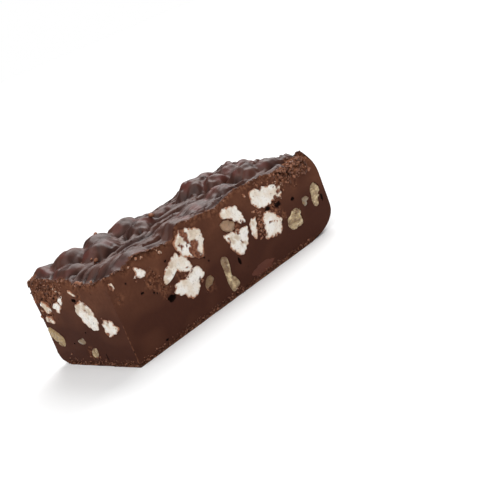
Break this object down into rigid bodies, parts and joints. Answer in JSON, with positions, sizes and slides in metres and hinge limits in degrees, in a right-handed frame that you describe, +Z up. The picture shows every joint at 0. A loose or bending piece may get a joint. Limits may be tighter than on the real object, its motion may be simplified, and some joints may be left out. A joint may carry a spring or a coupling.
{
  "type": "nut fudge",
  "caption": "Bar of dark chocolate fudge cut from a tray, with marshmallow and walnut chunks showing in its sides and a swollen, wrinkled top.",
  "frame": {"origin": "centre of the bar's box on the surface that it rests on", "axes": "+X along the bar, from the cut left end to the end that the tray rounded; -Y is the long cut side that shows; +Z up, towards the wrinkled top"},
  "size_m": [0.103, 0.0426, 0.0354],
  "materials": {
    "fudge": "dark chocolate, smooth and slightly glossy where it was cut or cast, crumbly along the cut rims",
    "marshmallow": "matt white foam, torn and porous at the cut",
    "walnut": "matt cream and tan nut flesh with brown skin"
  },
  "bodies": {
    "root": {"fudge": "fudge", "marshmallow_01": "marshmallow", "marshmallow_02": "marshmallow", "marshmallow_03": "marshmallow", "marshmallow_04": "marshmallow", "marshmallow_05": "marshmallow", "marshmallow_06": "marshmallow", "marshmallow_07": "marshmallow", "marshmallow_08": "marshmallow", "marshmallow_09": "marshmallow", "marshmallow_10": "marshmallow", "marshmallow_11": "marshmallow", "marshmallow_12": "marshmallow", "marshmallow_13": "marshmallow", "marshmallow_14": "marshmallow", "marshmallow_15": "marshmallow", "marshmallow_16": "marshmallow", "marshmallow_17": "marshmallow", "marshmallow_18": "marshmallow", "marshmallow_19": "marshmallow", "marshmallow_20": "marshmallow", "marshmallow_21": "marshmallow", "marshmallow_22": "marshmallow", "marshmallow_23": "marshmallow", "marshmallow_24": "marshmallow", "walnut_01": "walnut", "walnut_02": "walnut", "walnut_03": "walnut", "walnut_04": "walnut", "walnut_05": "walnut", "walnut_06": "walnut", "walnut_07": "walnut", "walnut_08": "walnut", "walnut_09": "walnut", "walnut_10": "walnut", "walnut_11": "walnut", "walnut_12": "walnut", "walnut_13": "walnut", "walnut_14": "walnut", "walnut_15": "walnut"}
  },
  "joints": []
}
